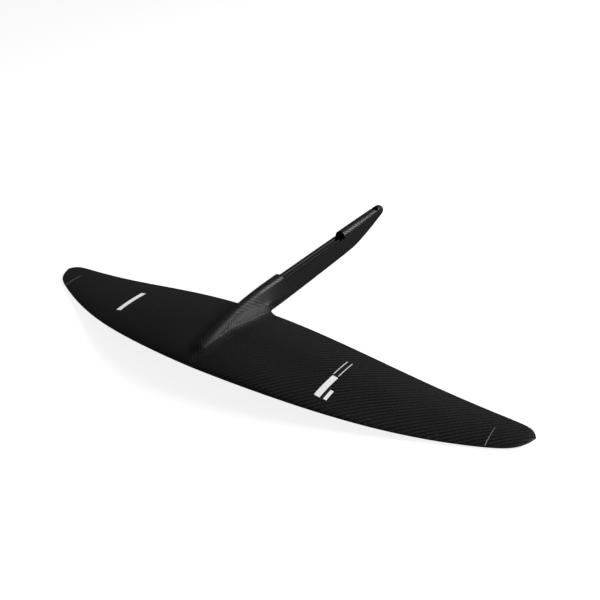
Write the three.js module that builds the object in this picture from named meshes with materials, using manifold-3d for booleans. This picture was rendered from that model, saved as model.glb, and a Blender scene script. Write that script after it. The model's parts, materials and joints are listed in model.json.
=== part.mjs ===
// Hydrofoil front wing moulded in one piece with its fuselage stub.
// Millimetres. X runs along the span, Y runs aft, Z is up.
// The shape is described from the middle of the leading edge, and the whole group is then
// moved so that the origin is the middle of the floor of the mast slot.
import * as THREE from 'three';
import { mergeVertices } from 'three/addons/utils/BufferGeometryUtils.js';
import Module from 'manifold-3d';

const wasm = await Module();
wasm.setup();

// ---- driving dimensions -------------------------------------------------------------------
const HALF_SPAN = 459;
const ROOT_CHORD = 162.5;
const TIP_Y = 140.7; // where leading and trailing edge meet at the tip
const SWEEP = 117.4; // how far aft the leading edge runs before the tip rounds off
const SWEEP_POWER = 1.84;
const LE_TIP_POWER = 48;
const TE_RAKE = 6;
const TE_RAKE_POWER = 8;
const TE_TIP_POWER = 65;
const DROP = [99, 83, 20]; // anhedral: how far the wing droops, by span squared, ^4 and ^6
const ROOT_THICKNESS = 0.125; // of the chord
const TIP_THICKNESS = 0.09;
const CAMBER = 0.022;
const NOSE_DROP = 5; // how much lower the leading edge is than the trailing edge at the root
const EDGE_HALF = 0.7; // half the thickness of the trailing edge
const SKIN = 1.2;
const GAP = 0.3; // bond line between neighbouring pieces
const END_STATION = 0.993; // fraction of the half span where the moulded tip ends

const TOP_Z = 37.6; // crown of the stub
const TOP_R = 10.2;
const SIDE_R = 14; // radius of the belly, half the stub's width
const BELLY_Z = -11.6; // lowest line of the stub, just aft of the wing
const BELLY_RISE = 5.4; // how far the belly has risen where the tail starts
const WALL = 2.4;
const PARTING_Z = 4; // mould parting line of the stub, about its widest level
const NOSE_Y = 12; // where the fairing rises from the wing
const CROWN_Y = 205; // where the fairing reaches the full height
const SEAT_Y = 217; // step in front of the mast seat
const LAND_END_Y = 380; // the seat's lands and the slot's lips stop here
const MOUTH_Y = 391; // mouth of the tail sleeve
const TAIL_START_Y = 415; // where the belly turns up
const SOCKET_END_Y = 455;
const ROUNDING_Y = 517; // where the tail's end starts to round off
const TAIL_Y = 522;
const TAIL_END_Y = 525;
const TAIL_R = 8;
const SEAT_Z = 27; // flat lands of the mast seat
const SLOT_HALF = 3.7;
const LINER = 0.8;
const FLOOR_Z = 13; // floor of the mast slot
const STOP_LENGTH = 12;
const SCREW_Y = 502;
const HEAD_R = 7.2; // counterbore of the tail screw
const BUSH_R = 5.4;
const BORE_R = 4.2;
const SCREW_SEAT_Z = 28;
const FLANGE = 1.6;
const BUSH_FOOT_Z = 20;
const BAR_SIDES = 24;

const ORIGIN_Y = (SEAT_Y + MOUTH_Y) / 2;

// ---- wing surface ---------------------------------------------------------------------------
const leadingEdge = (t) => SWEEP * t ** SWEEP_POWER + (TIP_Y - SWEEP) * t ** LE_TIP_POWER;

function trailingEdge(t) {
  const rounding = ROOT_CHORD - TE_RAKE - TIP_Y;
  return ROOT_CHORD - TE_RAKE * t ** TE_RAKE_POWER - rounding * t ** TE_TIP_POWER;
}

const droop = (t) => -(DROP[0] * t ** 2 - DROP[1] * t ** 4 + DROP[2] * t ** 6);

// Middle height, half thickness and position aft at span fraction t (0 root, 1 tip) and chord
// fraction s (0 leading edge, 1 trailing edge).
function wingAt(t, s) {
  const chord = trailingEdge(t) - leadingEdge(t);
  const ratio = ROOT_THICKNESS + (TIP_THICKNESS - ROOT_THICKNESS) * t;
  const shape = 0.2969 * Math.sqrt(s) - 0.126 * s - 0.3516 * s ** 2 + 0.2843 * s ** 3 - 0.1036 * s ** 4;
  return {
    y: leadingEdge(t) + s * chord,
    middle: droop(t) - NOSE_DROP * (chord / ROOT_CHORD) * (1 - s) + CAMBER * chord * 4 * s * (1 - s),
    half: 5 * ratio * chord * shape + EDGE_HALF * s,
  };
}

// ---- mesh helpers -----------------------------------------------------------------------------
function meshFrom(points, faces) {
  const geometry = new THREE.BufferGeometry();
  geometry.setAttribute('position', new THREE.Float32BufferAttribute(points.flat(), 3));
  geometry.setIndex(faces.flat());
  return geometry;
}

// Closed slab over the wing's planform: stations are signed span fractions, shares are chord
// fractions, and low and high give the heights of its two faces.
function slab(stations, shares, low, high) {
  const points = [];
  const faces = [];
  const rows = shares.length;
  const layer = stations.length * rows;
  for (const heightOf of [low, high]) {
    for (const station of stations) {
      for (const share of shares) {
        const wing = wingAt(Math.abs(station), share);
        points.push([station * HALF_SPAN, wing.y, heightOf(wing)]);
      }
    }
  }
  const bottom = (i, j) => i * rows + j;
  const top = (i, j) => layer + i * rows + j;
  const quad = (a, b, c, d) => faces.push([a, b, c], [a, c, d]);
  const lastI = stations.length - 1;
  const lastJ = rows - 1;
  for (let i = 0; i < lastI; i += 1) {
    for (let j = 0; j < lastJ; j += 1) {
      quad(top(i, j), top(i + 1, j), top(i + 1, j + 1), top(i, j + 1));
      quad(bottom(i, j), bottom(i, j + 1), bottom(i + 1, j + 1), bottom(i + 1, j));
    }
    quad(bottom(i, 0), bottom(i + 1, 0), top(i + 1, 0), top(i, 0));
    quad(bottom(i + 1, lastJ), bottom(i, lastJ), top(i, lastJ), top(i + 1, lastJ));
  }
  for (let j = 0; j < lastJ; j += 1) {
    quad(bottom(0, j + 1), bottom(0, j), top(0, j), top(0, j + 1));
    quad(bottom(lastI, j), bottom(lastI, j + 1), top(lastI, j + 1), top(lastI, j));
  }
  return meshFrom(points, faces);
}

// Closed loft through loops of equal length, each in a plane of constant Y.
function loft(loops) {
  const points = loops.flat();
  const faces = [];
  const count = loops[0].length;
  for (let k = 0; k < loops.length - 1; k += 1) {
    for (let i = 0; i < count; i += 1) {
      const next = (i + 1) % count;
      const here = k * count;
      const there = here + count;
      faces.push([here + i, here + next, there + next], [here + i, there + next, there + i]);
    }
  }
  const last = (loops.length - 1) * count;
  for (let i = 1; i < count - 1; i += 1) {
    faces.push([0, i + 1, i], [last, last + i, last + i + 1]);
  }
  return meshFrom(points, faces);
}

function solid(geometry) {
  const bare = geometry.clone();
  bare.deleteAttribute('normal');
  bare.deleteAttribute('uv');
  const merged = mergeVertices(bare, 1e-5);
  return new wasm.Manifold(new wasm.Mesh({
    numProp: 3,
    vertProperties: new Float32Array(merged.attributes.position.array),
    triVerts: new Uint32Array(merged.index.array),
  }));
}

function geometryOf(manifold) {
  const mesh = manifold.getMesh();
  const geometry = new THREE.BufferGeometry();
  geometry.setAttribute('position', new THREE.BufferAttribute(new Float32Array(mesh.vertProperties), 3));
  geometry.setIndex(new THREE.BufferAttribute(new Uint32Array(mesh.triVerts), 1));
  return geometry;
}

// Box given by its limits along X, Y and Z.
function block(x, y, z) {
  const geometry = new THREE.BoxGeometry(x[1] - x[0], y[1] - y[0], z[1] - z[0]);
  geometry.translate((x[0] + x[1]) / 2, (y[0] + y[1]) / 2, (z[0] + z[1]) / 2);
  return solid(geometry);
}

// Upright round bar on the axis of the tail screw.
function bar(radius, low, high) {
  const geometry = new THREE.CylinderGeometry(radius, radius, high - low, BAR_SIDES);
  geometry.rotateX(Math.PI / 2);
  geometry.translate(0, SCREW_Y, (low + high) / 2);
  return solid(geometry);
}

// ---- stub outline -------------------------------------------------------------------------------
const clamp01 = (value) => Math.min(1, Math.max(0, value));

function ease(value) {
  const u = clamp01(value);
  return u * u * (3 - 2 * u);
}

const lerp = (a, b, u) => a + (b - a) * u;

const NOSE_R = { crown: 5, belly: 4 }; // radii of the two arcs at the fairing's nose
const CROWN_RISE = 29.1; // how far the crown climbs along the fairing
const CROWN_POWER = 2.4;
const BURIED = 3.5; // depth of the fairing's belly in the wing's upper side
const SINK_Y = [95, 165]; // where the belly passes down through the wing
const BELLY_Y = [190, 420]; // where the belly rises slowly
const BELLY_POWER = 1.3;
const TAIL_RISE = 25.3;
const TAIL_POWER = 1.325;
const CROWN_TAPER_Y = [440, TAIL_Y];
const BELLY_TAPER_Y = [385, TAIL_Y];
const END_ROUNDING = 5;
const LEAST_R = 0.6; // smallest arc of an inner outline
const ARC_STEPS = { crown: 10, belly: 9 };

// Share of the way from one distance aft to another, from 0 to 1.
const along = (y, [from, to]) => clamp01((y - from) / (to - from));

// Height of the stub's lowest line.
function bellyAt(y) {
  const root = wingAt(0, clamp01(y / ROOT_CHORD));
  const buried = root.middle + root.half - BURIED;
  const free = BELLY_Z + BELLY_RISE * along(y, BELLY_Y) ** BELLY_POWER;
  const tailRise = TAIL_RISE * along(y, [TAIL_START_Y, TAIL_Y]) ** TAIL_POWER;
  return lerp(buried, free, ease(along(y, SINK_Y))) + tailRise;
}

// Crown and belly heights of the stub and the radii of its two arcs at a distance aft.
function stubAt(y) {
  const rise = along(y, [NOSE_Y, CROWN_Y]);
  const end = END_ROUNDING * (1 - Math.sqrt(1 - along(y, [ROUNDING_Y, TAIL_END_Y]) ** 2));
  const crownTaper = (TOP_R - TAIL_R) * along(y, CROWN_TAPER_Y);
  const bellyTaper = (SIDE_R - TAIL_R) * along(y, BELLY_TAPER_Y);
  return {
    top: TOP_Z - CROWN_RISE * (1 - rise) ** CROWN_POWER - end,
    topR: lerp(NOSE_R.crown, TOP_R, Math.sqrt(rise)) - crownTaper - end,
    bottom: bellyAt(y) + end,
    bottomR: lerp(NOSE_R.belly, SIDE_R, ease(along(y, [NOSE_Y, SINK_Y[1]]))) - bellyTaper - end,
  };
}

// Egg outline at a distance aft, drawn in by inset: a crown arc, two straight sides, a belly arc.
function stubLoop(y, inset) {
  const stub = stubAt(y);
  const crownR = Math.max(stub.topR - inset, LEAST_R);
  const bellyR = Math.max(stub.bottomR - inset, LEAST_R);
  const crownZ = stub.top - stub.topR;
  const bellyZ = Math.min(stub.bottom + stub.bottomR, crownZ - Math.abs(bellyR - crownR) - 0.05);
  const lean = Math.asin((bellyR - crownR) / (crownZ - bellyZ));
  const side = Math.PI / 2 - lean;
  const loop = [];
  const arc = (radius, z, from, to, steps) => {
    for (let i = 0; i <= steps; i += 1) {
      const angle = from + ((to - from) * i) / steps;
      loop.push([radius * Math.sin(angle), y, z + radius * Math.cos(angle)]);
    }
  };
  arc(crownR, crownZ, -side, side, ARC_STEPS.crown);
  arc(bellyR, bellyZ, side, 2 * Math.PI - side, ARC_STEPS.belly);
  return loop;
}

const spaced = (from, to, count) => (
  Array.from({ length: count + 1 }, (_, i) => from + ((to - from) * i) / count)
);

const STUB_STATIONS = [
  ...spaced(NOSE_Y, CROWN_Y, 10), ...spaced(SEAT_Y, MOUTH_Y, 3), ...spaced(TAIL_START_Y, ROUNDING_Y, 6),
  TAIL_Y, TAIL_END_Y,
];

function stub(inset, from, to) {
  const inside = STUB_STATIONS.filter((y) => y > from + 1 && y < to - 1);
  return solid(loft([from, ...inside, to].map((y) => stubLoop(y, inset))));
}

// ---- wing pieces -----------------------------------------------------------------------------------
const carbon = { color: 0x1b1c1e, roughness: 0.42, metalness: 0.1 };
const foam = { color: 0xd9cfa8, roughness: 0.9, metalness: 0 };
const filler = { color: 0x5b5f55, roughness: 0.8, metalness: 0 };
const glassLaminate = { color: 0x8f9492, roughness: 0.5, metalness: 0 };
const steel = { color: 0xb9bcc0, roughness: 0.3, metalness: 1 };

const object = new THREE.Group();

function add(name, geometry, finish) {
  const mesh = new THREE.Mesh(geometry, new THREE.MeshStandardMaterial(finish));
  mesh.name = name;
  object.add(mesh);
}

const HALF_STATIONS = [0.04, 0.1, 0.2, 0.3, 0.4, 0.5, 0.6, 0.7, 0.78, 0.85, 0.9, 0.94, 0.97, END_STATION];
const FULL_STATIONS = [...HALF_STATIONS.map((t) => -t).reverse(), 0, ...HALF_STATIONS];
const SKIN_SHARES = [0, 0.004, 0.016, 0.045, 0.1, 0.17, 0.24, 0.33, 0.45, 0.57, 0.7, 0.81, 0.9, 1];

const clearance = stub(-GAP, NOSE_Y, TAIL_Y);

const wingPiece = (stations, shares, low, high) => geometryOf(
  solid(slab(stations, shares, low, high)).subtract(clearance),
);

function addSkins() {
  const leaf = 0.1; // thinnest edge of a skin
  const upperIn = (w) => Math.max(w.middle + GAP / 2, w.middle + w.half - SKIN);
  const upperOut = (w) => Math.max(w.middle + w.half, w.middle + GAP / 2 + leaf);
  const lowerIn = (w) => Math.min(w.middle - GAP / 2, w.middle - w.half + SKIN);
  const lowerOut = (w) => Math.min(w.middle - w.half, w.middle - GAP / 2 - leaf);
  add('upper_skin', wingPiece(FULL_STATIONS, SKIN_SHARES, upperIn, upperOut), carbon);
  add('lower_skin', wingPiece(FULL_STATIONS, SKIN_SHARES, lowerOut, lowerIn), carbon);
}

// Solid between the two skins over a stretch of span and chord.
function filling(stations, shares) {
  const least = 0.25;
  const reach = (w) => Math.max(w.half - SKIN - GAP, least);
  return wingPiece(stations, shares, (w) => w.middle - reach(w), (w) => w.middle + reach(w));
}

const CENTRE_T = GAP / HALF_SPAN;
const TIP_START = 0.85;
const TIP_GAP = 0.001;
const BEAD_END = 0.7; // span fraction where the nose gets too thin for a bead
const FILLED_SHARES = {
  bead: [0.016, 0.045],
  front: [0.052, 0.1, 0.17, 0.24],
  spar: [0.25, 0.285, 0.32],
  rear: [0.33, 0.45, 0.57, 0.7],
  edge: [0.708, 0.81],
  tip: [0.1, 0.17, 0.33, 0.45, 0.57],
};

function addSide(suffix, sign) {
  const inner = [CENTRE_T, ...HALF_STATIONS.filter((t) => t <= TIP_START)];
  const outer = [TIP_START + TIP_GAP, 0.9, 0.94, 0.955];
  const signed = (stations) => (sign > 0 ? stations : stations.map((t) => -t).reverse());
  const fill = (name, stations, shares, finish) => {
    add(`${name}_${suffix}`, filling(signed(stations), shares), finish);
  };
  fill('leading_edge_bead', inner.filter((t) => t <= BEAD_END), FILLED_SHARES.bead, filler);
  fill('front_core', inner, FILLED_SHARES.front, foam);
  fill('rear_core', inner, FILLED_SHARES.rear, foam);
  fill('trailing_edge_filler', inner, FILLED_SHARES.edge, filler);
  fill('tip_block', outer, FILLED_SHARES.tip, filler);
}

function addSpar() {
  const reach = HALF_STATIONS.filter((t) => t < TIP_START);
  const stations = [...reach.map((t) => -t).reverse(), 0, ...reach];
  add('main_spar', filling(stations, FILLED_SHARES.spar), carbon);
}

// ---- stub pieces ------------------------------------------------------------------------------------
const WIDE = [-60, 60];
const FAR_Z = 60; // well above and below the stub
const NOSE_SOLID = 30; // length of the fairing's nose that is laminate all through
const CORE_SETBACK = 6;
const BELLY_START_Y = 100; // the lower shell starts inside the wing
const seatSpace = block(WIDE, [SEAT_Y, MOUTH_Y], [SEAT_Z, FAR_Z]);

// The upper half of the stub's moulded skin is one laminate. It is kept here as stretches, so
// that each has a plain shape.
function addShells() {
  const shell = stub(0, NOSE_Y, TAIL_END_Y).subtract(stub(WALL, NOSE_Y + NOSE_SOLID, TAIL_Y));
  const headHole = bar(HEAD_R, SCREW_SEAT_Z, FAR_Z);
  const shankHole = bar(BUSH_R + GAP, -FAR_Z, SCREW_SEAT_Z + 1);
  const upperZ = [PARTING_Z + GAP / 2, FAR_Z];
  const stretch = (name, x, from, to) => {
    const piece = shell.intersect(block(x, [from, to], upperZ));
    add(name, geometryOf(piece.subtract(seatSpace).subtract(headHole).subtract(shankHole)), carbon);
  };
  stretch('fairing_shell', WIDE, 0, SEAT_Y);
  stretch('seat_wall_left', [WIDE[0], 0], SEAT_Y + GAP, MOUTH_Y - GAP);
  stretch('seat_wall_right', [0, WIDE[1]], SEAT_Y + GAP, MOUTH_Y - GAP);
  stretch('tail_sleeve', WIDE, MOUTH_Y, SOCKET_END_Y);
  stretch('tail_cap', WIDE, SOCKET_END_Y + GAP, TAIL_END_Y + 1);
  const below = block(WIDE, [BELLY_START_Y, TAIL_END_Y + 1], [-FAR_Z, PARTING_Z - GAP / 2]);
  add('fuselage_lower_shell', geometryOf(shell.intersect(below)), carbon);
}

// Filling of the hollow stub between two distances aft and two heights.
function core(from, to, low, high) {
  return stub(WALL + GAP, from, to).intersect(block(WIDE, [from, to], [low, high]));
}

function addSeat() {
  const stopY = SEAT_Y - STOP_LENGTH;
  const slotOuter = SLOT_HALF + LINER;
  const slotFoot = FLOOR_Z - LINER - GAP;
  const slot = block([-slotOuter - GAP, slotOuter + GAP], [SEAT_Y - 1, MOUTH_Y + 1], [slotFoot, FAR_Z]);
  const seat = core(SEAT_Y + GAP, LAND_END_Y, -FAR_Z, SEAT_Z).subtract(slot);
  add('mast_seat_block', geometryOf(seat), filler);
  add('front_stop', geometryOf(core(stopY + GAP, SEAT_Y, -FAR_Z, FAR_Z)), filler);
  add('fairing_core', geometryOf(core(NOSE_Y + NOSE_SOLID + CORE_SETBACK, stopY, -FAR_Z, FAR_Z)), foam);
  const trough = block([-SLOT_HALF, SLOT_HALF], [SEAT_Y, MOUTH_Y + 1], [FLOOR_Z, FAR_Z]);
  const liner = block([-slotOuter, slotOuter], [SEAT_Y + GAP, LAND_END_Y], [FLOOR_Z - LINER, SEAT_Z]);
  add('slot_liner', geometryOf(liner.subtract(trough)), glassLaminate);
}

function addTail() {
  const floor = core(LAND_END_Y + GAP, SOCKET_END_Y, -FAR_Z, FLOOR_Z);
  add('tail_socket_floor', geometryOf(floor), filler);
  const body = core(SOCKET_END_Y + GAP, TAIL_Y - GAP, -FAR_Z, FAR_Z);
  const tail = body.subtract(bar(HEAD_R, SCREW_SEAT_Z, FAR_Z)).subtract(bar(BUSH_R + GAP, -FAR_Z, FAR_Z));
  add('tail_block', geometryOf(tail), filler);
  const flange = bar(HEAD_R - GAP, SCREW_SEAT_Z + GAP, SCREW_SEAT_Z + FLANGE);
  const barrel = bar(BUSH_R, BUSH_FOOT_Z, SCREW_SEAT_Z + FLANGE / 2);
  add('tail_bush', geometryOf(flange.add(barrel).subtract(bar(BORE_R, -FAR_Z, FAR_Z))), steel);
}

addSkins();
addSpar();
addSide('left', -1);
addSide('right', 1);
addShells();
addSeat();
addTail();
object.position.set(0, -ORIGIN_Y, -FLOOR_Z);

export default object;
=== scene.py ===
# Looks of a carbon hydrofoil front wing moulded in one piece with its fuselage stub.
# Shapes are worked out in millimetres from the middle of the wing's leading edge, as in the CAD,
# and moved to the row frame in metres when a mesh is made.
import json
import math

import bmesh
import bpy
import numpy as np
from mathutils import Matrix, Vector


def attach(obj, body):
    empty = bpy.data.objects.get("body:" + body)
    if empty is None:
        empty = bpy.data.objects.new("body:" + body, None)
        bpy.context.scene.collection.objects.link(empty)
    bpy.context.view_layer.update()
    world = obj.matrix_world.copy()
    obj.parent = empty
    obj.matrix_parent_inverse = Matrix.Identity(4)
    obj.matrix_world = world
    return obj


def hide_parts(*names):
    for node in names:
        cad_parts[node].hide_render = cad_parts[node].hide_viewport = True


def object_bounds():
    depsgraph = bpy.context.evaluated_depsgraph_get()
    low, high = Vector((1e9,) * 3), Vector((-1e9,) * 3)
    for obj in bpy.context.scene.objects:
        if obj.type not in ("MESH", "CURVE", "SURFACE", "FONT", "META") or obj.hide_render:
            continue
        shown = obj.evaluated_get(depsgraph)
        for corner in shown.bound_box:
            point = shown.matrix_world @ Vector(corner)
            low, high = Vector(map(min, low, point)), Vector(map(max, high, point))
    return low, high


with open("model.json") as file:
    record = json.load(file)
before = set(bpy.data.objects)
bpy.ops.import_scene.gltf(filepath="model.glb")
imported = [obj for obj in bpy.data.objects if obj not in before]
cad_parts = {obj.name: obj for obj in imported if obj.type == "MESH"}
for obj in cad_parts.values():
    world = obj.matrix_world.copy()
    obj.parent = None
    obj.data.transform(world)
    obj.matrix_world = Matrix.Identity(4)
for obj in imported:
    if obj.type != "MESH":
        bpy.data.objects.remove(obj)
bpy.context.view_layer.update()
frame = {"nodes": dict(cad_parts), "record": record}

BODY = "root"

# ---- wing, in millimetres --------------------------------------------------------------------
HALF_SPAN = 459.0
ROOT_CHORD = 162.5
TIP_Y = 140.7
SWEEP = 117.4
SWEEP_POWER = 1.84
LE_TIP_POWER = 48
TE_RAKE = 6.0
TE_RAKE_POWER = 8
TE_TIP_POWER = 65
DROP = (99.0, 83.0, 20.0)  # terms of the drop towards the tips
ROOT_THICKNESS = 0.125  # thickness and camber are fractions of the chord
TIP_THICKNESS = 0.09
CAMBER = 0.022
NOSE_DROP = 5.0
EDGE_HALF = 0.7  # half the thickness of the trailing edge
SECTION_TERMS = (0.2969, -0.126, -0.3516, 0.2843, -0.1036)  # thickness of a four-digit section

# ---- stub, in millimetres: heights, radii and distances aft ---------------------------------
TOP_Z = 37.6
TOP_R = 10.2
SIDE_R = 14.0
BELLY_Z = -11.6
BELLY_RISE = 5.4
NOSE_Y = 12.0
CROWN_Y = 205.0
SEAT_Y = 217.0
LAND_END_Y = 380.0
MOUTH_Y = 391.0
TAIL_START_Y = 415.0
SOCKET_END_Y = 455.0
ROUNDING_Y = 517.0
TAIL_Y = 522.0
TAIL_END_Y = 525.0
TAIL_R = 8.0
SEAT_Z = 27.0
SLOT_HALF = 3.7
FLOOR_Z = 13.0
SCREW_Y = 502.0
HEAD_R = 7.2
SCREW_SEAT_Z = 28.0
BUSH_R = 5.4
HOLE_FOOT_Z = 16.5

ORIGIN = np.array([0.0, (SEAT_Y + MOUTH_Y) / 2, FLOOR_Z])
MM = 0.001
MIRROR = np.array([-1.0, 1.0, 1.0])


def to_frame(points):
    """Millimetres from the leading edge to metres in the row frame."""
    return (np.asarray(points, float) - ORIGIN) * MM


def clamp01(value):
    return np.clip(value, 0, 1)


def ease(value):
    """Smooth step from 0 to 1."""
    u = clamp01(value)
    return u * u * (3 - 2 * u)


def lerp(a, b, u):
    return a + (b - a) * u


def part_way(y, limits):
    """Share of the way from one distance aft to another."""
    return clamp01((y - limits[0]) / (limits[1] - limits[0]))


# ---- wing surface: t is a fraction of the half span, s of the chord -------------------------
SLOPE_STEP = 0.01
NOSE_SHARE = 0.0005  # the section is too steep to follow ahead of this fraction
STEEPEST = 3.0


def leading_edge(t):
    """Distance aft of the leading edge; its last term rounds the tip."""
    return SWEEP * t**SWEEP_POWER + (TIP_Y - SWEEP) * t**LE_TIP_POWER


def trailing_edge(t):
    """Distance aft of the trailing edge; its last term rounds the tip."""
    rounding = ROOT_CHORD - TE_RAKE - TIP_Y
    return ROOT_CHORD - TE_RAKE * t**TE_RAKE_POWER - rounding * t**TE_TIP_POWER


def droop(t):
    """Height of the trailing edge, which falls towards the tips."""
    return -(DROP[0] * t**2 - DROP[1] * t**4 + DROP[2] * t**6)


def wing_heights(t, s):
    """Middle height and half thickness of the section."""
    chord = trailing_edge(t) - leading_edge(t)
    ratio = ROOT_THICKNESS + (TIP_THICKNESS - ROOT_THICKNESS) * t
    a, b, c, d, e = SECTION_TERMS
    shape = a * np.sqrt(s) + b * s + c * s**2 + d * s**3 + e * s**4
    middle = droop(t) - NOSE_DROP * chord / ROOT_CHORD * (1 - s) + CAMBER * chord * 4 * s * (1 - s)
    return middle, 5 * ratio * chord * shape + EDGE_HALF * s


def wing_row_y(t, s):
    """Distance aft of a place on the wing."""
    return leading_edge(t) + s * (trailing_edge(t) - leading_edge(t))


def wing_distance(x, y, z, side):
    """Distance to the wing's upper (side 1) or lower (side -1) surface, positive outside.
    Aft of the trailing edge it is the distance to that edge."""
    t = np.minimum(np.abs(x) / HALF_SPAN, 1)
    front = leading_edge(t)
    chord = trailing_edge(t) - front

    def height(share):
        middle, half = wing_heights(t, np.clip(share, NOSE_SHARE, 1))
        return middle + side * half

    share = (y - front) / chord
    slope = (height(share + SLOPE_STEP) - height(share - SLOPE_STEP)) / (2 * SLOPE_STEP * chord)
    over = side * (z - height(share)) / np.sqrt(1 + np.minimum(slope**2, STEEPEST**2))
    behind = y - trailing_edge(t)
    edge = np.hypot(np.maximum(behind, 0), z - droop(t)) - EDGE_HALF
    return np.where(behind > 0, edge, over)


# ---- stub surface ----------------------------------------------------------------------------
NOSE_CROWN_R = 5.0
NOSE_BELLY_R = 4.0
CROWN_RISE = 29.1
CROWN_POWER = 2.4
BURIED = 3.5  # how far the fairing's lower side lies below the wing's upper skin
SINK_Y = (95.0, 165.0)  # it sinks to the belly between these
BELLY_Y = (190.0, 420.0)
BELLY_POWER = 1.3
TAIL_RISE = 25.3
TAIL_POWER = 1.325
CROWN_TAPER_Y = (440.0, TAIL_Y)
BELLY_TAPER_Y = (385.0, TAIL_Y)
END_ROUNDING = 5.0
END_DROP = 3.0
DROP_START_Y = 510.0
LEAST_STRAIGHT = 0.05  # the arcs' centres are this much further apart than their radii differ
SWELL = 3.5  # how much wider the root of the stub is, and where it swells and thins again
SWELL_Y = (95.0, 145.0, 170.0, 250.0)
SWELL_LIFT = 0.5
FADE = 12.0
FADE_Y = (10.0, 30.0)  # the fairing's nose grows out of the wing between these


def stub_section(y):
    """Heights and radii of the crown arc and the belly arc at distance aft y."""
    y = np.asarray(y, float)
    rise = part_way(y, (NOSE_Y, CROWN_Y))
    end = END_ROUNDING * (1 - np.sqrt(1 - part_way(y, (ROUNDING_Y, TAIL_END_Y)) ** 2))
    middle, half = wing_heights(0.0, clamp01(y / ROOT_CHORD))
    free = BELLY_Z + BELLY_RISE * part_way(y, BELLY_Y) ** BELLY_POWER
    bottom = lerp(middle + half - BURIED, free, ease(part_way(y, SINK_Y)))
    bottom = bottom + TAIL_RISE * part_way(y, (TAIL_START_Y, TAIL_Y)) ** TAIL_POWER + end
    top = TOP_Z - CROWN_RISE * (1 - rise) ** CROWN_POWER - end
    top = top - END_DROP * part_way(y, (DROP_START_Y, TAIL_END_Y)) ** 2
    top_r = lerp(NOSE_CROWN_R, TOP_R, np.sqrt(rise)) - (TOP_R - TAIL_R) * part_way(y, CROWN_TAPER_Y) - end
    bottom_r = lerp(NOSE_BELLY_R, SIDE_R, ease(part_way(y, (NOSE_Y, SINK_Y[1]))))
    bottom_r = bottom_r - (SIDE_R - TAIL_R) * part_way(y, BELLY_TAPER_Y) - end
    swell = SWELL * ease(part_way(y, SWELL_Y[:2])) * (1 - ease(part_way(y, SWELL_Y[2:])))
    bottom_r = bottom_r + swell
    bottom = bottom + swell * SWELL_LIFT
    crown_z = top - top_r
    belly_z = np.minimum(bottom + bottom_r, crown_z - np.abs(bottom_r - top_r) - LEAST_STRAIGHT)
    return crown_z, top_r, belly_z, bottom_r


def stub_distance(x, y, z):
    """Distance to the stub's outline in the plane of constant y, positive outside."""
    crown_z, top_r, belly_z, bottom_r = stub_section(y)
    height = crown_z - belly_z
    px = np.abs(x)
    pz = z - belly_z
    lean = (bottom_r - top_r) / height
    cosine = np.sqrt(1 - lean**2)
    along = -lean * px + cosine * pz
    low = np.hypot(px, pz) - bottom_r
    high = np.hypot(px, pz - height) - top_r
    side = cosine * px + lean * pz - bottom_r
    fade = FADE * (1 - ease(part_way(y, FADE_Y)))
    return np.where(along < 0, low, np.where(along > cosine * height, high, side)) + fade


NOSE_FLANK = 4.0
MAIN_FLANK = 9.5
EDGE_FLANK = 6.5
BELLY_FLANK = 2.0
MAIN_FLANK_Y = (20.0, 110.0)
EDGE_FLANK_Y = (100.0, 160.0)
FLANK_ROUNDING = 9.0


def flank(y, side):
    """Reach of the sloping flank between wing and stub."""
    if side < 0:
        return BELLY_FLANK
    growing = lerp(NOSE_FLANK, MAIN_FLANK, ease(part_way(y, MAIN_FLANK_Y)))
    return lerp(growing, EDGE_FLANK, ease(part_way(y, EDGE_FLANK_Y)))


def blended(x, y, z, side):
    """Distance to wing and stub, joined by a flank whose edges are rounded."""
    a = wing_distance(x, y, z, side)
    b = stub_distance(x, y, z)
    slope = (a + b - flank(y, side)) * math.sqrt(0.5)
    corner = np.minimum(a, b)
    overlap = np.maximum(FLANK_ROUNDING - np.abs(corner - slope), 0) / FLANK_ROUNDING
    return np.minimum(corner, slope) - overlap**2 * FLANK_ROUNDING / 4


# ---- mesh helpers ----------------------------------------------------------------------------
def make_object(name, mesh, material):
    """Piece of the object, riding on its one body."""
    piece = bpy.data.objects.new(name, mesh)
    bpy.context.scene.collection.objects.link(piece)
    mesh.materials.clear()
    mesh.materials.append(material)
    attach(piece, BODY)
    return piece


def mesh_from(name, points, faces):
    """Mesh from points in millimetres."""
    mesh = bpy.data.meshes.new(name)
    mesh.from_pydata(to_frame(points).tolist(), [], faces)
    mesh.validate()
    return mesh


def smooth_by_angle(mesh, degrees):
    """Smooth shading, with edges sharper than the angle kept sharp."""
    mesh.shade_smooth()
    mesh.set_sharp_from_angle(angle=math.radians(degrees))


def grid_faces(index, flip=False):
    """Quads between the neighbouring rows and columns of a grid of vertex numbers."""
    quads = np.stack([index[:-1, :-1], index[1:, :-1], index[1:, 1:], index[:-1, 1:]], -1)
    if flip:
        quads = quads[..., ::-1]
    return quads.reshape(-1, 4).tolist()


def store_cloth(mesh, values):
    """Where each vertex lies on the cloth, in millimetres across and along."""
    attribute = mesh.attributes.new("cloth", "FLOAT_VECTOR", "POINT")
    attribute.data.foreach_set("vector", np.asarray(values, np.float32).ravel())


# ---- wing mesh -------------------------------------------------------------------------------
CENTRE_X = 60.0  # the fillet lies inside this distance from the centre plane
CENTRE_T = CENTRE_X / HALF_SPAN
CENTRE_COLUMNS = 96
OUTER_COLUMNS = 74
ROWS = 104
EDGE_CROWDING = 0.92  # powers that draw the rows to the trailing edge and to the nose
NOSE_CROWDING = 1.12
TIP_CROWDING = 1.6  # and the columns to the tip
LAST_T = 0.9994  # the wing ends here, because at 1 it has no chord
RUN_FADE_T = 0.6  # the extra cloth over the stub is taken up within this much of the half span
WING_SHARP_ANGLE = 42.0

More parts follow.
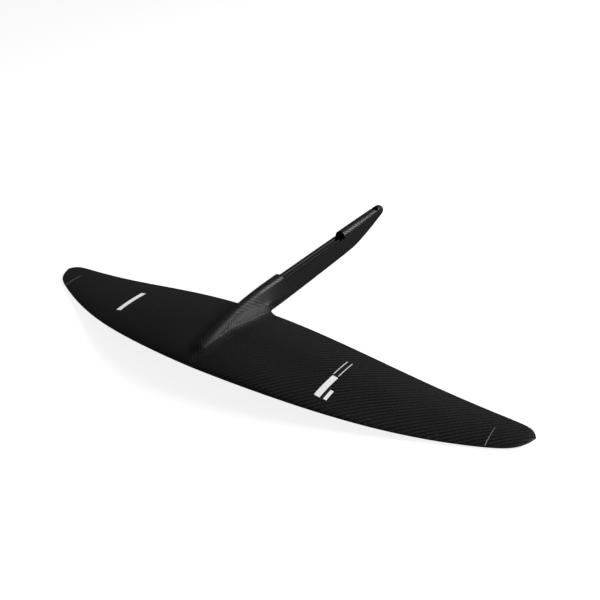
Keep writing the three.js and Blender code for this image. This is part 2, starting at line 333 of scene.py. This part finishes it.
PROBE = 0.02  # half the distance over which a slope is taken
TINY = 1e-12
LEAST_SLOPE = 0.3
LONGEST_MOVE = 1.0
SETTLE_ROUNDS = 2
TRACE_STEP = 0.5
MOST_STEPS = 400
SEARCH_Z = 60.0
HALVINGS = 40
FILLET_CLEARANCE = 0.3


def chord_shares():
    """Chord fractions, close together at the nose and along the trailing edge."""
    u = np.linspace(0, 1, ROWS)
    return (1 - np.cos(np.pi * u**EDGE_CROWDING)) ** NOSE_CROWDING / 2**NOSE_CROWDING


def in_plane_slope(x, y_of, z, side):
    """Distance, unit normal and steepness in the plane that follows a row."""
    value = blended(x, y_of(x), z, side)
    gx = blended(x + PROBE, y_of(x + PROBE), z, side) - blended(x - PROBE, y_of(x - PROBE), z, side)
    gz = blended(x, y_of(x), z + PROBE, side) - blended(x, y_of(x), z - PROBE, side)
    size = np.hypot(gx, gz) + TINY
    return value, gx / size, gz / size, size / (2 * PROBE)


def settle(x, y_of, z, side):
    """Moves points onto the surface."""
    for _ in range(SETTLE_ROUNDS):
        value, nx, nz, steepness = in_plane_slope(x, y_of, z, side)
        move = np.clip(value / np.maximum(steepness, LEAST_SLOPE), -LONGEST_MOVE, LONGEST_MOVE)
        x = x - move * nx
        z = z - move * nz
    return x, z


def centre_profiles(shares, side):
    """Evenly spaced points from the centre plane out to CENTRE_X along each chord fraction,
    over the stub and its fillet and on over the wing. Returns x, z and distance along."""

    def y_of(x):
        return wing_row_y(np.abs(x) / HALF_SPAN, shares)

    low = np.full(len(shares), -SEARCH_Z)
    high = np.full(len(shares), SEARCH_Z)
    for _ in range(HALVINGS):
        mid = (low + high) / 2
        outside = blended(0 * mid, y_of(0 * mid), mid * side, side) > 0
        high = np.where(outside, mid, high)
        low = np.where(outside, low, mid)
    x = np.zeros(len(shares))
    z = high * side
    xs, zs = [x], [z]
    while x.min() < CENTRE_X and len(xs) < MOST_STEPS:
        _, nx, nz, _ = in_plane_slope(x, y_of, z, side)
        tx, tz = nz * side, -nx * side
        x, z = settle(x + TRACE_STEP * tx, y_of, z + TRACE_STEP * tz, side)
        xs.append(x)
        zs.append(z)
    xs, zs = np.array(xs), np.array(zs)
    steps = np.hypot(np.diff(xs, axis=0), np.diff(zs, axis=0))
    run = np.vstack([np.zeros(len(shares)), np.cumsum(steps, 0)])
    out_x, out_z, out_run = [], [], []
    for row in range(len(shares)):
        total = np.interp(CENTRE_X, xs[:, row], run[:, row])
        wanted = np.linspace(0, total, CENTRE_COLUMNS)
        out_x.append(np.interp(wanted, run[:, row], xs[:, row]))
        out_z.append(np.interp(wanted, run[:, row], zs[:, row]))
        out_run.append(wanted)
    x, z = np.array(out_x), np.array(out_z)
    for column in range(1, CENTRE_COLUMNS - 1):
        x[:, column], z[:, column] = settle(x[:, column], y_of, z[:, column], side)
    return x, z, np.array(out_run)


def in_fillet(x, y, z):
    """Whether a point of the upper face belongs to neither the wing nor the stub. The strip of
    cloth there is laid the other way round."""
    off_wing = wing_distance(x, y, z, 1) > FILLET_CLEARANCE
    return off_wing & (stub_distance(x, y, z) > FILLET_CLEARANCE)


def wing_side(shares, side):
    """Points and cloth places of one face of the right half wing, rows by columns."""
    x, z, run = centre_profiles(shares, side)
    if side > 0:
        z[:, -1] = np.add(*wing_heights(CENTRE_T, shares))
    u = np.linspace(0, 1, OUTER_COLUMNS + 1)[1:]
    outer = CENTRE_T + (LAST_T - CENTRE_T) * (1 - (1 - u) ** TIP_CROWDING)
    t, s = np.meshgrid(outer, shares)
    middle, half = wing_heights(t, s)
    extra = run[:, -1:] - CENTRE_X
    fade = ease((t - CENTRE_T) / RUN_FADE_T)
    xs = np.hstack([x, t * HALF_SPAN])
    zs = np.hstack([z, middle + side * half])
    runs = np.hstack([run, t * HALF_SPAN + extra * (1 - fade)])
    ys = wing_row_y(xs / HALF_SPAN, shares[:, None])
    if side > 0:
        runs = np.where(in_fillet(xs, ys, zs), -runs, runs)
    return np.stack([xs, ys, zs], -1), np.stack([runs, ys, 0 * ys], -1)


def whole_span(half):
    """Both halves of a face from its right half; the first column is the centre plane."""
    mirrored = half[:, :0:-1] * MIRROR
    return np.concatenate([mirrored, half], 1)


def wing_mesh():
    """Closed skin of the whole wing with its fillet: two faces, the trailing edge and two tip ends."""
    shares = chord_shares()
    upper, upper_cloth = map(whole_span, wing_side(shares, 1))
    lower, lower_cloth = map(whole_span, wing_side(shares, -1))
    lower[0] = upper[0]
    rows, columns = upper.shape[:2]
    count = rows * columns
    top = np.arange(count).reshape(rows, columns)
    bottom = np.vstack([top[:1], np.arange(count, 2 * count - columns).reshape(rows - 1, columns)])
    faces = grid_faces(top, flip=True) + grid_faces(bottom)
    faces += grid_faces(np.vstack([top[-1], bottom[-1]]), flip=True)
    for column, turned in ((0, False), (columns - 1, True)):
        ring = list(top[:, column]) + list(bottom[:0:-1, column])
        faces.append(ring[::-1] if turned else ring)
    points = np.concatenate([upper.reshape(-1, 3), lower[1:].reshape(-1, 3)])
    cloth = np.concatenate([upper_cloth.reshape(-1, 3), lower_cloth[1:].reshape(-1, 3)])
    mesh = mesh_from("wing_shell", points, [list(map(int, face)) for face in faces])
    store_cloth(mesh, cloth)
    smooth_by_angle(mesh, WING_SHARP_ANGLE)
    return mesh


# ---- stub mesh -------------------------------------------------------------------------------
AROUND = 72  # points down one side of a loop
LEAST_R = 0.6
SOCKET_WALL = 2.4
SOCKET_LOOPS = 28
STUB_SHARP_ANGLE = 38.0

# Gaps aft of the trailing edge: the loops up to FLARE_END lie on the fillet with that edge.
FLARE_GAPS = (0.75, 1.2, 1.8, 2.6, 3.6, 4.8, 6.2, 8.0, 10.0, 12.5)
FLARE_END = 14.0
FAIRING_GAP = 15.0
FLARE_CENTRE_Z = 9.0
FLARE_REACH = 16.0
FLARE_HALVINGS = 24
ROOT_OVERLAP = 3.0  # the first loop is drawn in and reaches this far into the wing
ROOT_SHRINK = 0.99
SEAT_LOOPS_END_Y = TAIL_START_Y - 30.0
TAIL_LOOPS_START_Y = TAIL_START_Y - 26.0
END_ANGLES = (0.15, 1.5)  # where the loops of the rounded end lie on their quarter circle

# Spaces cut out of the stub. They run past what they cut, so that no two faces lie on each other.
CLEAR_X = 40.0
CLEAR_Z = 60.0
SLOT_CLEAR_Z = 50.0
EDGE_BREAK = 0.01
LINER_SPACE = 0.8
SLOT_START_GAP = 0.2
SLOT_END_LAP = 1.0
FLANGE_SPACE = 1.6
SHANK_LAP = 3.0
BAR_SIDES = 64


def egg_loop(y, inset, count):
    """Points round the stub's outline, clockwise from the crown as seen from behind."""
    crown_z, top_r, belly_z, bottom_r = (float(v) for v in stub_section(y))
    lean = math.asin((bottom_r - top_r) / (crown_z - belly_z))
    straight = (crown_z - belly_z) * math.cos(lean)
    top_r = max(top_r - inset, LEAST_R)
    bottom_r = max(bottom_r - inset, LEAST_R)
    arc_top = top_r * (math.pi / 2 - lean)
    arc_bottom = bottom_r * (math.pi / 2 + lean)
    total = arc_top + straight + arc_bottom
    points = []
    for d in np.linspace(0, total, count):
        if d < arc_top:
            angle = d / top_r
            points.append((top_r * math.sin(angle), y, crown_z + top_r * math.cos(angle)))
        elif d < arc_top + straight:
            share = (d - arc_top) / straight
            side = math.pi / 2 - lean
            radius = lerp(top_r, bottom_r, share)
            centre = lerp(crown_z, belly_z, share)
            points.append((radius * math.sin(side), y, centre + radius * math.cos(side)))
        else:
            angle = math.pi / 2 - lean + (d - arc_top - straight) / bottom_r
            points.append((bottom_r * math.sin(angle), y, belly_z + bottom_r * math.cos(angle)))
    points = np.array(points)
    left = points[-2:0:-1] * MIRROR
    return np.vstack([points, left])


def arch_loop(y, inset, floor_z, count):
    """Points round the part of the stub's outline above a level floor, in egg_loop's order."""
    half = egg_loop(y, inset, count)[:count]
    below = int(np.argmax(half[:, 2] < floor_z))
    last, after = half[below - 1], half[below]
    corner = lerp(last, after, (last[2] - floor_z) / (last[2] - after[2]))
    path = np.vstack([half[:below], corner])
    run = np.concatenate([[0], np.cumsum(np.linalg.norm(np.diff(path, axis=0), axis=1))])
    places = np.linspace(0, run[-1], count)
    right = np.stack([np.interp(places, run, path[:, axis]) for axis in range(3)], 1)
    return np.vstack([right, right[:0:-1] * MIRROR])


def girth(x, y, z):
    """Distance round the stub's outline from the crown, never negative."""
    crown_z, top_r, belly_z, bottom_r = stub_section(y)
    height = crown_z - belly_z
    lean = np.arcsin((bottom_r - top_r) / height)
    side = np.pi / 2 - lean
    px = np.abs(x)
    top_angle = np.arctan2(px, z - crown_z)
    low_angle = np.arctan2(px, z - belly_z)
    down = (crown_z - z) * np.cos(lean) + px * np.sin(lean)
    straight = height * np.cos(lean)
    over = top_r * side
    on_top = top_angle < side
    below = low_angle > side
    return np.where(on_top, top_r * top_angle, np.where(
        below, over + straight + bottom_r * (low_angle - side), over + np.clip(down, 0, straight)))


def flare(loop):
    """Moves a loop just aft of the trailing edge out onto the fillet with that edge."""
    centre = np.array([0.0, FLARE_CENTRE_Z])
    out = loop.copy()
    for k, (x, y, z) in enumerate(loop):
        direction = np.array([x, z]) - centre
        low = np.hypot(*direction)
        direction /= low
        high = low + FLARE_REACH
        side = 1 if z > 0 else -1
        for _ in range(FLARE_HALVINGS):
            mid = (low + high) / 2
            px, pz = centre + mid * direction
            if blended(px, y, pz, side) > 0:
                high = mid
            else:
                low = mid
        out[k, [0, 2]] = centre + low * direction
    return out


def loft_mesh(name, loops):
    """Closed mesh through loops of equally many points, with flat ends."""
    loops = np.array(loops)
    rows, count = loops.shape[:2]
    index = np.arange(rows * count).reshape(rows, count)
    index = np.hstack([index, index[:, :1]])
    faces = grid_faces(index, flip=True)
    faces.append(list(range(count))[::-1])
    faces.append([(rows - 1) * count + i for i in range(count)])
    return mesh_from(name, loops.reshape(-1, 3), [list(map(int, face)) for face in faces])


def temporary(mesh):
    """Object for the cuts, with its faces turned outward."""
    shape = bmesh.new()
    shape.from_mesh(mesh)
    bmesh.ops.recalc_face_normals(shape, faces=shape.faces)
    shape.to_mesh(mesh)
    shape.free()
    piece = bpy.data.objects.new(mesh.name, mesh)
    bpy.context.scene.collection.objects.link(piece)
    return piece


def cut_away(piece, cutters):
    """Takes the cutters out of a piece and removes them."""
    for cutter in cutters:
        modifier = piece.modifiers.new("cut", "BOOLEAN")
        modifier.operation = "DIFFERENCE"
        modifier.solver = "EXACT"
        modifier.object = cutter
    bpy.context.view_layer.update()
    shape = piece.evaluated_get(bpy.context.evaluated_depsgraph_get())
    result = bpy.data.meshes.new_from_object(shape)
    piece.modifiers.clear()
    for cutter in cutters:
        bpy.data.objects.remove(cutter)
    bpy.data.objects.remove(piece)
    return result


def block_space(name, x, y, z):
    """Block along Y, its two lower edges barely broken."""
    section = [
        (x[1], z[1]), (x[0], z[1]), (x[0], z[0] + EDGE_BREAK), (x[0] + EDGE_BREAK, z[0]),
        (x[1] - EDGE_BREAK, z[0]), (x[1], z[0] + EDGE_BREAK)]
    loops = [[(px, py, pz) for px, pz in section[::-1]] for py in y]
    return temporary(loft_mesh(name, loops))


def screw_space(name, radius, low, high):
    """Upright round bar on the screw's axis."""
    angles = np.linspace(0, 2 * np.pi, BAR_SIDES, endpoint=False)[::-1]
    loops = [
        [(radius * math.cos(a), SCREW_Y + radius * math.sin(a), z) for a in angles] for z in (low, high)]
    return temporary(loft_mesh(name, loops))


def socket_space():
    """Inside of the tail sleeve, above the level floor of the slot."""
    stations = np.linspace(LAND_END_Y, SOCKET_END_Y, SOCKET_LOOPS)
    loops = [arch_loop(y, SOCKET_WALL, FLOOR_Z, AROUND) for y in stations]
    return temporary(loft_mesh("socket_space", loops))


def stub_stations():
    """Distances aft of the stub's loops, closest at the trailing edge and at the rounded end."""
    end = TAIL_END_Y - ROUNDING_Y
    return [
        *(ROOT_CHORD + gap for gap in FLARE_GAPS),
        *np.linspace(ROOT_CHORD + FAIRING_GAP, CROWN_Y, 12),
        *np.linspace(SEAT_Y, SEAT_LOOPS_END_Y, 20),
        *np.linspace(TAIL_LOOPS_START_Y, ROUNDING_Y, 48),
        *(ROUNDING_Y + end * math.sin(angle) for angle in np.linspace(*END_ANGLES, 12)),
    ]


def stub_body():
    """Solid stub aft of the wing, before the cuts."""
    loops = []
    for y in stub_stations():
        loop = egg_loop(y, 0, AROUND)
        loops.append(flare(loop) if y < ROOT_CHORD + FLARE_END else loop)
    root = loops[0] * np.array([ROOT_SHRINK, 1.0, ROOT_SHRINK])
    root[:, 1] -= ROOT_OVERLAP
    loops.insert(0, root)
    return temporary(loft_mesh("stub_body", loops))


def lay_cloth(mesh):
    """Stores where each corner lies on cloth that is wrapped round the stub from its crown."""
    points = np.array([v.co for v in mesh.vertices]) / MM + ORIGIN
    around_crown = girth(points[:, 0], points[:, 1], points[:, 2])
    attribute = mesh.attributes.new("cloth", "FLOAT_VECTOR", "CORNER")
    values = np.zeros((len(mesh.loops), 3), np.float32)
    for polygon in mesh.polygons:
        sign = 1.0 if polygon.center.x >= 0 else -1.0
        for k in polygon.loop_indices:
            vertex = mesh.loops[k].vertex_index
            values[k] = (sign * around_crown[vertex], points[vertex, 1], 0)
    attribute.data.foreach_set("vector", values.ravel())


def stub_mesh():
    """Stub with its seat, slot, sleeve and screw hole cut out."""
    slot_half = SLOT_HALF + LINER_SPACE
    slot_y = (SEAT_Y + SLOT_START_GAP, MOUTH_Y + SLOT_END_LAP)
    mesh = cut_away(stub_body(), [
        block_space("seat_space", (-CLEAR_X, CLEAR_X), (SEAT_Y, MOUTH_Y), (SEAT_Z, CLEAR_Z)),
        block_space("slot_space", (-slot_half, slot_half), slot_y, (FLOOR_Z - LINER_SPACE, SLOT_CLEAR_Z)),
        socket_space(),
        screw_space("head_space", HEAD_R, SCREW_SEAT_Z + FLANGE_SPACE, CLEAR_Z),
        screw_space("shank_space", BUSH_R, HOLE_FOOT_Z, SCREW_SEAT_Z + SHANK_LAP),
    ])
    lay_cloth(mesh)
    smooth_by_angle(mesh, STUB_SHARP_ANGLE)
    mesh.name = "stub_shell"
    return mesh


# ---- materials -------------------------------------------------------------------------------
GLASSY_IOR = 1.5
TWILL_REPEAT = 4.0  # tows in one repeat of the twill; for half of them the warp lies on top
LAST_WARP = 1.5
ACROSS_WANDER = 0.5  # how far the tows stray from straight, in tows
ALONG_WANDER = -0.4
WANDER_SCALE = 0.05
FIBRE_FINE = 9.0  # fibres per tow, and how much slower they change along it
FIBRE_LONG = 0.6
CLOUD_SCALE = 0.012
CARBON_DARK = (0.0015, 0.0015, 0.0016)
CARBON_LIGHT = (0.056, 0.056, 0.057)
WARP_SHEEN_TONE = 0.84  # how much warp, fibres and clouds lighten the cloth; the lighter warp is painted sheen, the fibres and clouds are random tone
FIBRE_TONE = 0.14
CLOUD_TONE = 0.05
WEFT_ROUGHER = 0.05  # and how they change its roughness
WARP_ROUGHER = -0.22
CLOUD_ROUGHER = 0.08
FIBRE_HEIGHT = 0.25
CARBON_RELIEF = 0.0002

BROAD_GRAIN = 12  # how much larger the broad grain of a plain material is than its fine grain
FINE_TONE = 0.6
GRAIN_ROUGHNESS = 0.16
GRAIN_RELIEF = 0.0004
LINER_GRAIN = 1200
LINER_ROUGHNESS = 0.3
LINER_RELIEF = 0.0002


class Graph:
    """Short calls for building one material's nodes."""

    def __init__(self, name):
        self.material = bpy.data.materials.new(name)
        self.material.use_nodes = True
        self.tree = self.material.node_tree
        self.tree.nodes.clear()

    def node(self, kind, inputs=None, **settings):
        made = self.tree.nodes.new("ShaderNode" + kind)
        for key, value in settings.items():
            setattr(made, key, value)
        for key, value in (inputs or {}).items():
            if isinstance(value, bpy.types.NodeSocket):
                self.tree.links.new(value, made.inputs[key])
            else:
                made.inputs[key].default_value = value
        return made

    def math(self, operation, a, b=0.0):
        return self.node("Math", {0: a, 1: b}, operation=operation).outputs[0]

    def times(self, a, b):
        return self.math("MULTIPLY", a, b)

    def mix(self, factor, a, b):
        made = self.node("Mix", {0: factor, 2: a, 3: b})
        return made.outputs[0]

    def mix_colour(self, factor, a, b):
        made = self.node("Mix", {0: factor, 6: a, 7: b}, data_type="RGBA")
        return made.outputs[2]

    def noise(self, vector, scale, detail=3.0, roughness=0.5):
        settings = {"Vector": vector, "Scale": scale, "Detail": detail, "Roughness": roughness}
        return self.node("TexNoise", settings).outputs[0]

    def bump(self, height, strength, distance):
        made = self.node("Bump", {"Height": height, "Strength": strength, "Distance": distance})
        return made.outputs[0]

    def position(self):
        return self.node("NewGeometry").outputs["Position"]

    def finish(self, inputs):
        """Material from the inputs of its one shader."""
        shader = self.node("BsdfPrincipled", inputs)
        output = self.node("OutputMaterial")
        self.tree.links.new(shader.outputs[0], output.inputs[0])
        return self.material


def carbon(name, tow, painted_light_level, relief, roughness=0.40, coat=0.1, coat_roughness=0.35):
    """Two-by-two twill of carbon tows under a satin coat, the warp-over tows painted lighter as a painted
    sheen. Tow width is in millimetres.
    """
    g = Graph(name)
    cloth = g.node("Attribute", attribute_name="cloth").outputs["Vector"]
    tows = g.node("VectorMath", {0: cloth, 3: 1 / tow}, operation="SCALE").outputs[0]
    wander = g.noise(tows, WANDER_SCALE, 2.0)
    split = g.node("SeparateXYZ", {0: tows})
    across = g.math("ADD", split.outputs[0], g.times(wander, ACROSS_WANDER))
    along = g.math("ADD", split.outputs[1], g.times(wander, ALONG_WANDER))
    in_across = g.math("FRACT", across)
    in_along = g.math("FRACT", along)
    cell = g.math("ADD", g.math("FLOOR", across), g.math("FLOOR", g.times(along, -1.0)))
    phase = g.math("FLOORED_MODULO", cell, TWILL_REPEAT)
    warp = g.math("LESS_THAN", phase, LAST_WARP)
    crown_in = g.mix(warp, in_along, in_across)
    crown = g.times(g.times(crown_in, g.math("SUBTRACT", 1.0, crown_in)), 4.0)
    stretched = g.node("CombineXYZ", {
        0: g.times(across, g.mix(warp, FIBRE_LONG, FIBRE_FINE)),
        1: g.times(along, g.mix(warp, FIBRE_FINE, FIBRE_LONG)),
    }).outputs[0]
    fibres = g.noise(stretched, 1.0, 2.0)
    cloudy = g.noise(cloth, CLOUD_SCALE, 3.0)
    # Painted sheen: warp-over tows get a lighter colour that stands in for their reflection; fibres and
    # clouds add random tone.
    level = g.math("ADD", g.times(warp, WARP_SHEEN_TONE), g.times(fibres, FIBRE_TONE))
    level = g.math("ADD", level, g.times(cloudy, CLOUD_TONE))
    rough = g.math("ADD", roughness + WEFT_ROUGHER, g.times(warp, WARP_ROUGHER))
    rough = g.math("ADD", rough, g.times(cloudy, CLOUD_ROUGHER))
    height = g.math("ADD", crown, g.times(fibres, FIBRE_HEIGHT))
    # This factor scales both tones: painted light, making one part's carbon lighter or darker than
    # another's.
    dark, light = ((*(painted_light_level * v for v in tone), 1.0) for tone in (CARBON_DARK, CARBON_LIGHT))
    return g.finish({
        "Base Color": g.mix_colour(level, dark, light),
        "Roughness": rough,
        "Normal": g.bump(height, relief, CARBON_RELIEF),
        "Coat Weight": coat,
        "Coat Roughness": coat_roughness,
        "Coat IOR": GLASSY_IOR,
        "IOR": GLASSY_IOR,
        "Anisotropic": 0.4,
        "Specular IOR Level": 0.5,
    })


def plain(name, dark, light, roughness, grain, stretch=(1, 1, 1), relief=0.1, metallic=0.0, glow=0.0):
    """Two close tones with a grain, which may be drawn out along an axis. Grain is per metre; glow is
    emission strength, which paints a glow on the part.
    """
    g = Graph(name)
    scaled = g.node("VectorMath", {0: g.position(), 1: stretch}, operation="MULTIPLY").outputs[0]
    fine = g.noise(scaled, grain, 4.0, 0.6)
    broad = g.noise(scaled, grain / BROAD_GRAIN, 2.0)
    level = g.math("ADD", g.times(fine, FINE_TONE), g.times(broad, 1 - FINE_TONE))
    rough = g.math("ADD", roughness - GRAIN_ROUGHNESS / 2, g.times(fine, GRAIN_ROUGHNESS))
    return g.finish({
        "Base Color": g.mix_colour(level, (*dark, 1.0), (*light, 1.0)),
        "Roughness": rough,
        "Metallic": metallic,
        "Emission Color": (1.0, 1.0, 1.0, 1.0),
        "Emission Strength": glow,
        "Normal": g.bump(fine, relief, GRAIN_RELIEF),
    })


def liner_with_painted_highlight(name, below):
    """Dark liner whose cut lips, above a height in metres, are painted light as a painted highlight along
    the slot's edges.
    """
    g = Graph(name)
    grain = g.noise(g.position(), LINER_GRAIN)
    height = g.node("SeparateXYZ", {0: g.position()}).outputs[2]
    # Painted highlight: above this height the liner gets light tones in place of the highlight on its
    # edges.
    painted_highlight_band = g.math("GREATER_THAN", height, below)
    walls = g.mix_colour(grain, (0.03, 0.03, 0.032, 1), (0.07, 0.07, 0.075, 1))
    painted_highlight_tones = g.mix_colour(grain, (0.26, 0.26, 0.26, 1), (0.40, 0.40, 0.40, 1))
    return g.finish({
        "Base Color": g.mix_colour(painted_highlight_band, walls, painted_highlight_tones),
        "Roughness": g.math("ADD", LINER_ROUGHNESS, g.times(grain, LINER_ROUGHNESS / 2)),
        "Normal": g.bump(grain, 0.1, LINER_RELIEF),
    })


# ---- pieces ----------------------------------------------------------------------------------
TOW = 1.8
PAINTED_HIGHLIGHT_DEPTH = 0.6  # the painted highlight covers the top of the liner down to this far below the lands

# Painted light: the stub's carbon is painted lighter than the wing's (1.1 against 0.95), though both are
# the same carbon.
wing_carbon = carbon("wing_twill", TOW, painted_light_level=0.95, relief=0.8)
stub_carbon = carbon(
    "stub_twill", TOW, painted_light_level=1.1, relief=0.6, roughness=0.35, coat=0.2, coat_roughness=0.3)

wing = make_object("wing_shell", wing_mesh(), wing_carbon)
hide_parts("upper_skin", "lower_skin")
stub = make_object("stub_shell", stub_mesh(), stub_carbon)
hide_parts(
    "fairing_shell", "seat_wall_left", "seat_wall_right", "tail_sleeve", "tail_cap",
    "fuselage_lower_shell", "mast_seat_block", "front_stop", "tail_socket_floor", "tail_block")

FINISHES = {
    "spar_carbon": plain(
        "raw_carbon", (0.012, 0.012, 0.013), (0.03, 0.03, 0.032), 0.4, 900, (1, 0.05, 1)),
    "foam_core": plain("foam", (0.60, 0.53, 0.33), (0.75, 0.69, 0.48), 0.9, 1400, relief=0.3),
    "resin_filler": plain("filled_resin", (0.09, 0.10, 0.08), (0.14, 0.15, 0.12), 0.7, 800),
    "seat_laminate": plain(
        "machined_laminate", (0.010, 0.010, 0.011), (0.024, 0.024, 0.026), 0.5, 1200, (1, 0.2, 1)),
    "slot_liner": liner_with_painted_highlight("liner", (SEAT_Z - FLOOR_Z - PAINTED_HIGHLIGHT_DEPTH) * MM),
    "bush_steel": plain(
        "turned_steel", (0.5, 0.5, 0.52), (0.66, 0.66, 0.68), 0.3, 600, (1, 1, 12), metallic=1.0),
}
slots = {part["node"]: part["material_slot"] for part in frame["record"]["subparts"]}
for node_name, node in frame["nodes"].items():
    finish = FINISHES.get(slots[node_name])
    if finish:
        node.data.materials.clear()
        node.data.materials.append(finish)

# ---- printed marks, in millimetres -----------------------------------------------------------
FILM = 0.12  # height of the print above the skin, and how deep its underside lies in the skin
FILM_ROOT = 0.2
FILM_SHARP_ANGLE = 40.0
STRIPE_COLUMNS = 25
STRIPE_ROWS = 4

BAR_X = 195.0  # on the right half a bar, a short one outboard of it and two thin lines behind
BAR_Y = (44.0, 88.0)
BAR_WIDTH = 9.0
SHORT_BAR_X = 207.0
SHORT_BAR_Y = (45.0, 63.0)
SHORT_BAR_WIDTH = 5.0
LINES_X = {"inner": (190.0, 189.0), "outer": (198.0, 197.0)}
LINES_Y = (91.0, 127.0)
LINE_WIDTH = 1.0
LEFT_BAR_X = (-220.0, -224.0)
LEFT_BAR_Y = (62.0, 122.0)
LEFT_BAR_WIDTH = 10.0
TIP_LINE_X = 411.0  # a thin line across each tip, which leans in towards the back
TIP_LINE_LEAN = 2.0
TIP_LINE_INSET = 1.5
TIP_LINE_END = 132.0
TIP_LINE_WIDTHS = (0.8, 0.3)


def film(name, x, y, material):
    """Thin print on the wing's upper side over a grid of places."""
    t = np.abs(x) / HALF_SPAN
    shares = (y - leading_edge(t)) / (trailing_edge(t) - leading_edge(t))
    skin = np.add(*wing_heights(t, clamp01(shares)))
    rows, columns = x.shape
    index = np.arange(rows * columns).reshape(rows, columns)
    under = index + rows * columns
    faces = grid_faces(index) + grid_faces(under, flip=True)
    faces += grid_faces(np.vstack([under[0], index[0]])) + grid_faces(np.vstack([index[-1], under[-1]]))
    faces += grid_faces(np.stack([index[:, 0], under[:, 0]], 1)[::-1])
    faces += grid_faces(np.stack([under[:, -1], index[:, -1]], 1)[::-1])
    points = np.stack([np.stack([x, y, skin + FILM], -1), np.stack([x, y, skin - FILM_ROOT], -1)])
    mesh = mesh_from(name, points.reshape(-1, 3), faces)
    smooth_by_angle(mesh, FILM_SHARP_ANGLE)
    return make_object(name, mesh, material)


def stripe(name, x, y, widths, material):
    """Straight stripe; x, y and widths each give its front end and its back end."""
    u, v = np.meshgrid(np.linspace(0, 1, STRIPE_COLUMNS), np.linspace(-0.5, 0.5, STRIPE_ROWS))
    ax, ay = x[1] - x[0], y[1] - y[0]
    length = math.hypot(ax, ay)
    width = lerp(widths[0], widths[1], u) * v
    return film(name, x[0] + ax * u + width * ay / length, y[0] + ay * u - width * ax / length, material)


def even(value):
    """The same value at both ends."""
    return value, value


# Painted glow: the print materials are given emission, so the marks shine brighter than the light on them
# makes them.
print_white_glowing = plain(
    "printed_white_painted_glow", (0.74, 0.74, 0.73), (0.84, 0.84, 0.83), 0.5, 900, relief=0.03, glow=0.55)
print_faint_glowing = plain(
    "printed_faint_painted_glow", (0.40, 0.40, 0.40), (0.48, 0.48, 0.48), 0.5, 900, relief=0.03, glow=0.1)
stripe("print_bar_right", even(BAR_X), BAR_Y, even(BAR_WIDTH), print_white_glowing)
stripe("print_bar_short", even(SHORT_BAR_X), SHORT_BAR_Y, even(SHORT_BAR_WIDTH), print_white_glowing)
for name, x in LINES_X.items():
    stripe("print_line_" + name, x, LINES_Y, even(LINE_WIDTH), print_white_glowing)
stripe("print_bar_left", LEFT_BAR_X, LEFT_BAR_Y, even(LEFT_BAR_WIDTH), print_white_glowing)
tip_line_y = (float(leading_edge(TIP_LINE_X / HALF_SPAN)) + TIP_LINE_INSET, TIP_LINE_END)
for name, side in (("left", -1), ("right", 1)):
    tip_line_x = (side * TIP_LINE_X, side * (TIP_LINE_X - TIP_LINE_LEAN))
    stripe("tip_line_" + name, tip_line_x, tip_line_y, TIP_LINE_WIDTHS, print_faint_glowing)

# ---- floor, light and camera, in metres ------------------------------------------------------
FLOOR_SIDE = 60.0
FLOOR_GAP = 0.0005
FLOOR_GLOW = 0.85
WORLD_STRENGTH = 0.06
KEY_AT = (2.5, 2.15, 1.9)
KEY_TARGET = (0.0, -0.1, 0.0)
KEY_SIZE = (2.7, 0.9)
KEY_POWER = 74.0
CAMERA_AT = (0.69733, -0.88614, 0.60200)
CAMERA_AZIMUTH = 39.481  # angles in degrees, lens and sensor in millimetres
CAMERA_ELEVATION = 30.661
CAMERA_ROLL = -5.279
LENS = 45.6
SENSOR = 36.0


def add_floor(height):
    """Pale floor that takes the object's shadow but throws no light back on it."""
    g = Graph("pale_floor")
    tone = g.noise(g.position(), 0.4, 2.0)
    material = g.finish({
        "Base Color": g.mix_colour(tone, (0.88, 0.88, 0.88, 1), (0.92, 0.92, 0.92, 1)),
        "Roughness": 0.9,
        "Specular IOR Level": 0.0,
        "Emission Color": (1.0, 1.0, 1.0, 1.0),
        "Emission Strength": FLOOR_GLOW,
    })
    h = FLOOR_SIDE / 2
    mesh = bpy.data.meshes.new("floor")
    mesh.from_pydata([(-h, -h, 0), (h, -h, 0), (h, h, 0), (-h, h, 0)], [], [(0, 1, 2, 3)])
    mesh.materials.append(material)
    floor = bpy.data.objects.new("floor", mesh)
    floor.location.z = height
    bpy.context.scene.collection.objects.link(floor)
    floor.visible_glossy = False
    floor.visible_diffuse = False


def add_key_light():
    """Long soft light from behind on the right."""
    light = bpy.data.lights.new("key_long", "AREA")
    light.shape = "RECTANGLE"
    light.size, light.size_y = KEY_SIZE
    light.energy = KEY_POWER
    lamp = bpy.data.objects.new("key_long", light)
    bpy.context.scene.collection.objects.link(lamp)
    lamp.location = KEY_AT
    lamp.rotation_mode = "QUATERNION"
    lamp.rotation_quaternion = (Vector(KEY_TARGET) - Vector(KEY_AT)).to_track_quat("-Z", "Y")


def add_world():
    """Dim white surroundings."""
    world = bpy.data.worlds.new("studio")
    world.use_nodes = True
    background = world.node_tree.nodes["Background"]
    background.inputs["Color"].default_value = (1.0, 1.0, 1.0, 1.0)
    background.inputs["Strength"].default_value = WORLD_STRENGTH
    bpy.context.scene.world = world


def add_camera():
    """Camera in front on the right, above the wing."""
    data = bpy.data.cameras.new("camera")
    data.lens = LENS
    data.sensor_width = SENSOR
    camera = bpy.data.objects.new("camera", data)
    bpy.context.scene.collection.objects.link(camera)
    bpy.context.scene.camera = camera
    turn = Matrix.Rotation(math.radians(CAMERA_AZIMUTH), 4, "Z")
    tilt = Matrix.Rotation(math.radians(90 - CAMERA_ELEVATION), 4, "X")
    roll = Matrix.Rotation(math.radians(CAMERA_ROLL), 4, "Z")
    camera.matrix_world = Matrix.Translation(CAMERA_AT) @ turn @ tilt @ roll


low_corner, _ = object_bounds()
add_floor(low_corner.z - FLOOR_GAP)
add_world()
add_key_light()
add_camera()
bpy.context.scene.view_settings.view_transform = "Standard"
